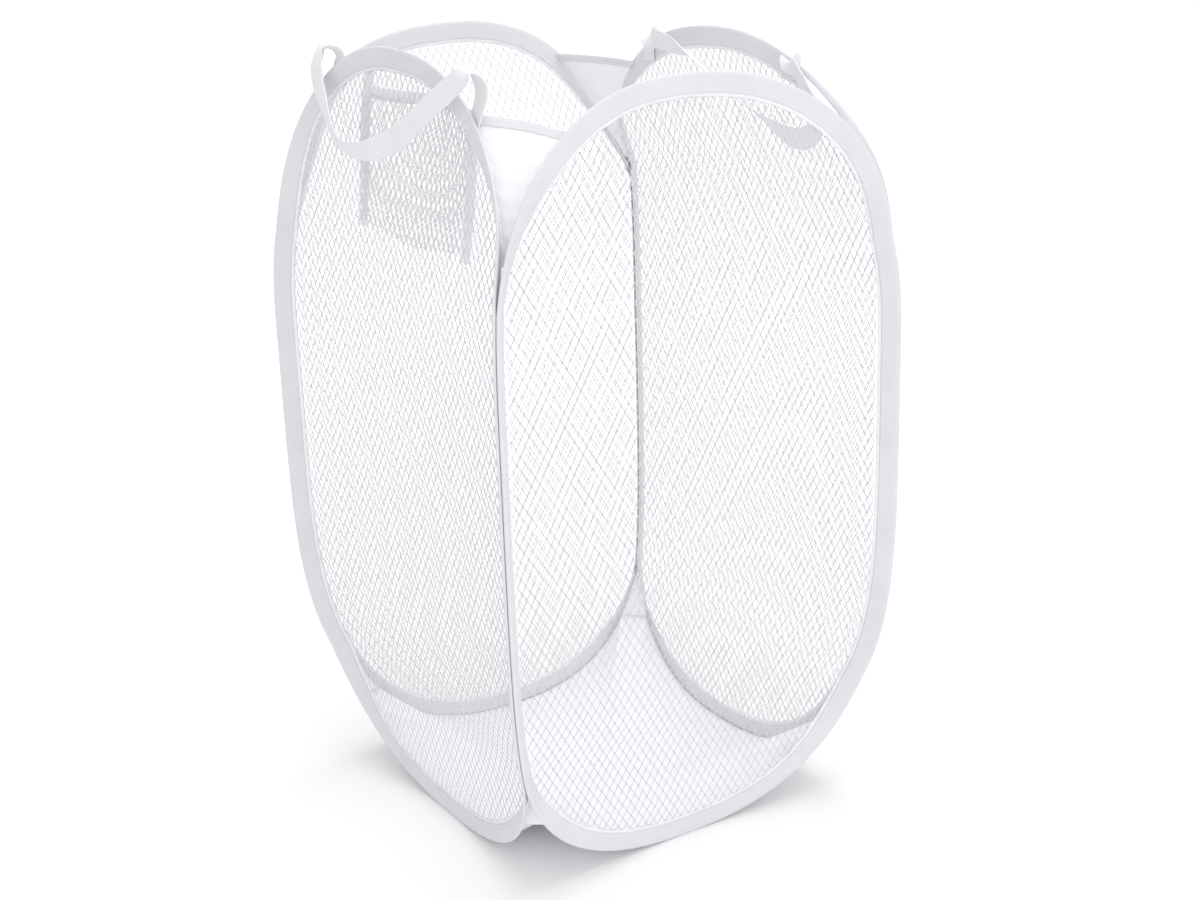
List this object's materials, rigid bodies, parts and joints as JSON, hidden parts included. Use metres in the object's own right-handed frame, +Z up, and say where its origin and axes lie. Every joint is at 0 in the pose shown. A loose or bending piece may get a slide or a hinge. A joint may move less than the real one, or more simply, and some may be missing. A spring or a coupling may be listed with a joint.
{
  "type": "pop up laundry hamper",
  "caption": "Square mesh laundry hamper that folds flat: spring wire panels in fabric tape, cloth base and corner gussets, strap handles and an inner mesh pocket.",
  "frame": {"origin": "middle of the base cloth, on the floor that it stands on", "axes": "+Z up through the open top; -Y faces the front panel, the large one on the right of the picture; the pocket is on the -X side"},
  "size_m": [0.36, 0.3853, 0.6126],
  "materials": {
    "tape": "woven polyester binding, matt",
    "net": "knitted polyester mesh",
    "cloth": "plain woven nylon, matt",
    "strap": "flat woven webbing",
    "wire": "tempered flat spring strip"
  },
  "bodies": {
    "back_panel": {"edge_tape_back": "tape", "spring_wire_back": "wire", "net_back": "net", "base_cloth": "cloth", "gusset_upper_back_left": "cloth", "gusset_lower_back_left": "cloth", "hem_tape_back_left": "tape", "gusset_upper_back_right": "cloth", "gusset_lower_back_right": "cloth", "hem_tape_back_right": "tape"},
    "left_panel": {"edge_tape_left": "tape", "spring_wire_left": "wire", "net_left": "net", "strap_end_left_front": "strap", "strap_end_left_back": "strap", "pocket_net": "net", "pocket_mouth_tape": "tape", "pocket_side_tape_front": "tape", "pocket_side_tape_back": "tape", "gusset_upper_front_left": "cloth", "gusset_lower_front_left": "cloth", "hem_tape_front_left": "tape"},
    "right_panel": {"edge_tape_right": "tape", "spring_wire_right": "wire", "net_right": "net", "strap_end_right_back": "strap", "strap_end_right_front": "strap", "gusset_upper_front_right": "cloth", "gusset_lower_front_right": "cloth", "hem_tape_front_right": "tape"},
    "front_panel": {"edge_tape_front": "tape", "spring_wire_front": "wire", "net_front": "net"},
    "left_handle": {"strap_loop_left": "strap"},
    "right_handle": {"strap_loop_right": "strap"}
  },
  "joints": [
    {"name": "fold_back_right", "type": "hinge", "parent": "back_panel", "child": "right_panel", "pos_m": [0.145, 0.145, 0.3], "axis": [0, 0, -1], "range_deg": [0, 75], "stiffness_Nm_per_rad": 0.2, "deforming": ["gusset_upper_back_right", "gusset_lower_back_right", "hem_tape_back_right", "base_cloth"]},
    {"name": "fold_back_left", "type": "hinge", "parent": "back_panel", "child": "left_panel", "pos_m": [-0.18, 0.18, 0.3], "axis": [0, 0, -1], "range_deg": [0, 75], "stiffness_Nm_per_rad": 0.2, "deforming": ["gusset_upper_back_left", "gusset_lower_back_left", "hem_tape_back_left", "gusset_upper_front_left", "gusset_lower_front_left", "hem_tape_front_left"]},
    {"name": "fold_front_right", "type": "hinge", "parent": "right_panel", "child": "front_panel", "pos_m": [0.18, -0.18, 0.3], "axis": [0, 0, 1], "range_deg": [0, 75], "stiffness_Nm_per_rad": 0.2, "deforming": ["gusset_upper_front_right", "gusset_lower_front_right", "hem_tape_front_right"]},
    {"name": "left_handle_swing", "type": "hinge", "parent": "left_panel", "child": "left_handle", "pos_m": [-0.143, 0, 0.612], "axis": [0, 1, 0], "range_deg": [0, 150]},
    {"name": "right_handle_swing", "type": "hinge", "parent": "right_panel", "child": "right_handle", "pos_m": [0.131, 0, 0.604], "axis": [0, 1, 0], "range_deg": [0, 150]}
  ],
  "couplings": [
    {"joint": "fold_back_left", "follows": "fold_back_right", "ratio": 1},
    {"joint": "fold_front_right", "follows": "fold_back_right", "ratio": 1}
  ]
}
